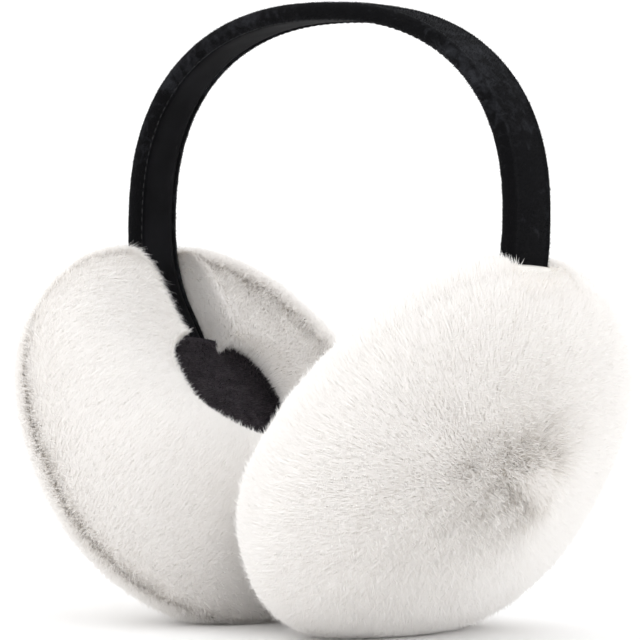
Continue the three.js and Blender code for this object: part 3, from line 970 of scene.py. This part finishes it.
        outer = face(self.lining_gap)
        inner = face(self.lining_gap + self.lining_thickness)[::-1]
        rings = [self.world(r) for r in outer + inner]
        piece = closed_skin(f"{self.side.label}_plush_dish", np.array(rings))
        face_out(piece)
        inner_from = (len(outer) - 1) * self.dish_columns
        cover = np.zeros(len(piece.data.vertices))
        cover[inner_from:] = 1.0
        cover[-2] = 0.0
        down = -self.up * 0.8 + self.inwards * 0.2
        store(piece, "nap", "FLOAT_VECTOR", np.tile(down, (len(cover), 1)))
        store(piece, "cover", "FLOAT", cover)
        store(piece, "reach", "FLOAT", np.ones(len(cover)))
        return piece


@dataclass
class Studio:
    """Plain pale floor, soft lights and the photograph's camera."""

    azimuth: float = math.radians(41.39)
    elevation: float = math.radians(1.31)
    roll: float = math.radians(1.31)
    distance: float = 1.0714
    focal_pixels: float = 3650.0
    shift_right: float = -3.21 * MM
    shift_up: float = -29.3 * MM
    sensor: float = 36.0
    room_strength: float = 1.24
    key_watts: float = 2.8
    top_watts: float = 1.5
    bounces: int = 16
    diffuse_bounces: int = 14

    def camera(self, target: np.ndarray) -> bpy.types.Object:
        """Sets the camera by its angles round a point of the object.

        Args:
            target: The point that the angles are measured from.

        Returns:
            The camera.
        """
        a, e, roll = self.azimuth, self.elevation, self.roll
        towards = Vector((math.sin(a) * math.cos(e), -math.cos(a) * math.cos(e), math.sin(e)))
        level = Vector((math.cos(a), math.sin(a), 0))
        upright = level.cross(-towards)
        right = math.cos(roll) * level + math.sin(roll) * upright
        up = -math.sin(roll) * level + math.cos(roll) * upright
        spot = Vector(target) + towards * self.distance + right * self.shift_right + up * self.shift_up
        data = bpy.data.cameras.new("photo_camera")
        data.sensor_width = self.sensor
        data.lens = self.focal_pixels * self.sensor / IMAGE_SIDE
        data.clip_start = 0.01
        data.clip_end = 50.0
        made = bpy.data.objects.new("photo_camera", data)
        turn = Matrix((right, up, towards)).transposed().to_4x4()
        made.matrix_world = Matrix.Translation(spot) @ turn
        bpy.context.scene.collection.objects.link(made)
        bpy.context.scene.camera = made
        return made

    def light(self, name: str, spot: tuple, target: tuple, size: float, power: float, tint: str) -> None:
        """Adds a square soft light.

        Args:
            name: The light's name.
            spot: Where it stands.
            target: What it faces.
            size: The length of its side.
            power: Its power in watts.
            tint: Its colour.
        """
        data = bpy.data.lights.new(name, "AREA")
        data.size = size
        data.energy = power
        data.color = linear(tint)[:3]
        made = bpy.data.objects.new(name, data)
        made.location = spot
        made.rotation_euler = (Vector(target) - Vector(spot)).to_track_quat("-Z", "Y").to_euler()
        bpy.context.scene.collection.objects.link(made)

    def floor(self) -> bpy.types.Object:
        """Lays the floor. Returns it."""
        turn = np.linspace(0, 2 * math.pi, 64, endpoint=False)
        rim = np.stack([np.cos(turn), np.sin(turn), 0 * turn], axis=1) * 9.0
        points = np.concatenate([rim, [[0, 0, 0]]])
        made = mesh_object("studio_floor", points, [(64, k, (k + 1) % 64) for k in range(64)])
        material, graph = new_material("matt_white_paper")
        place = graph.add("ShaderNodeTexCoord").outputs["Object"]
        grain = graph.add("ShaderNodeTexNoise", {"Vector": place, "Scale": 400.0, "Detail": 2.0})
        relief = graph.add("ShaderNodeBump", {"Height": grain.outputs["Fac"], "Strength": 0.05,
                                              "Distance": 0.1 * MM})
        shader = graph.add("ShaderNodeBsdfPrincipled", {
            "Base Color": linear("F7F7F7"), "Roughness": 1.0, "Specular IOR Level": 0.0,
            "Normal": relief.outputs["Normal"]})
        graph.add("ShaderNodeOutputMaterial", {"Surface": shader.outputs["BSDF"]})
        made.data.materials.append(material)
        return made

    def world(self, strength: float) -> None:
        """Fills the room with even white light of a strength."""
        world = bpy.data.worlds.new("white_room")
        world.use_nodes = True
        graph = Graph(world.node_tree)
        sky = graph.add("ShaderNodeBackground", {"Color": linear("FFFFFF"), "Strength": strength})
        graph.add("ShaderNodeOutputWorld", {"Surface": sky.outputs["Background"]})
        bpy.context.scene.world = world

    def dress(self, target: np.ndarray) -> None:
        """Builds the whole set round a point of the object."""
        self.camera(target)
        self.floor()
        self.world(self.room_strength)
        self.light("key", (-0.9, -0.9, 1.3), (0, 0, 0.08), 1.0, self.key_watts, "FFFDFA")
        self.light("top", (0.4, 0.3, 1.5), (0, 0, 0.1), 0.8, self.top_watts, "FAFCFF")
        scene = bpy.context.scene
        scene.cycles.max_bounces = self.bounces
        scene.cycles.diffuse_bounces = self.diffuse_bounces
        scene.view_settings.view_transform = "Standard"
        scene.view_settings.look = "None"


def finish_piece(piece: bpy.types.Object, material: bpy.types.Material | None = None) -> None:
    """Dresses a piece and lets it ride.

    Args:
        piece: The piece.
        material: Its finish, where its nodes haven't set one.
    """
    if material is not None:
        piece.data.materials.clear()
        piece.data.materials.append(material)
    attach(piece, "root")
    piece.data.calc_loop_triangles()
    LOG.info("%s: %d triangles", piece.name, len(piece.data.loop_triangles))


def build_headband(arch: ArchShape) -> None:
    """Builds and dresses the headband's pieces."""
    band = Headband(arch)
    cover = band.cover()
    velvet = CrushedVelvet().material()
    fuzz = {"Rows": 2, "Density": 6.0e6, "Length": 0.6 * MM, "Width": 0.11 * MM, "Lay": 0.5, "Bend": 0.0,
            "Stray": 0.5, "Tuft": 1.2, "Tuft Size": 4.0 * MM, "Seed": 3}
    finish_piece(bake_nodes(cover, pile_tree(velvet), fuzz, "headband_velvet_pile"))
    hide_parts("headband_cover")
    finish_piece(cover, velvet)
    strip = band.strip()
    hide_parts("headband_lining")
    finish_piece(strip, LiningSateen().material())
    finish_piece(band.stitches(PolyesterThread().material()))


def build_ears(arch: ArchShape) -> None:
    """Builds and dresses both ears' pieces."""
    fur, backing = FUR.material(), BACKING.material()
    plush, ground = PLUSH.material(), PLUSH_GROUND.material()
    fur_tree, plush_tree = pile_tree(fur), pile_tree(plush)
    dense = {"Rows": 2, "Density": 5.5e6, "Length": 4.0 * MM, "Width": 0.38 * MM, "Lay": 2.0, "Bend": 0.0,
             "Stray": 0.2, "Tuft": 0.8, "Tuft Size": 8.0 * MM}
    guard = {"Rows": 3, "Density": 1.3e6, "Length": 4.8 * MM, "Width": 0.26 * MM, "Lay": 1.5, "Bend": 0.15,
             "Stray": 0.35, "Tuft": 1.3, "Tuft Size": 6.0 * MM}
    fuzz = {"Rows": 2, "Density": 4.5e6, "Length": 2.6 * MM, "Width": 0.3 * MM, "Lay": 0.3, "Bend": 0.2,
            "Stray": 0.9, "Tuft": 0.6, "Tuft Size": 5.0 * MM}
    nap = {"Rows": 2, "Density": 8.0e6, "Length": 1.1 * MM, "Width": 0.22 * MM, "Lay": 0.5, "Bend": 0.1,
           "Stray": 0.4, "Tuft": 1.2, "Tuft Size": 3.0 * MM}
    for side in Side:
        pad = EarPad(side, arch)
        cushion = pad.cushion()
        seed = 10 if side is Side.RIGHT else 50
        layers = [("fur_dense_a", dense), ("fur_dense_b", dense), ("fur_guard", guard), ("fur_fuzz", fuzz)]
        for i, (name, values) in enumerate(layers):
            finish_piece(pad.pile(cushion, fur_tree, name, values | {"Seed": seed + i}))
        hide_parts(f"{side.label}_fur_pad")
        finish_piece(cushion, backing)
        dish = pad.lining()
        finish_piece(pad.pile(dish, plush_tree, "plush_nap", nap | {"Seed": seed + 9}))
        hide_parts(f"{side.label}_ear_lining")
        finish_piece(dish, ground)


def main() -> None:
    """Builds the earmuffs and the studio round them."""
    logging.basicConfig(level=logging.INFO, format="%(name)s: %(message)s")
    arch = ArchShape()
    Studio().dress(arch.middle)
    build_headband(arch)
    build_ears(arch)


if __name__ == "__main__":
    main()
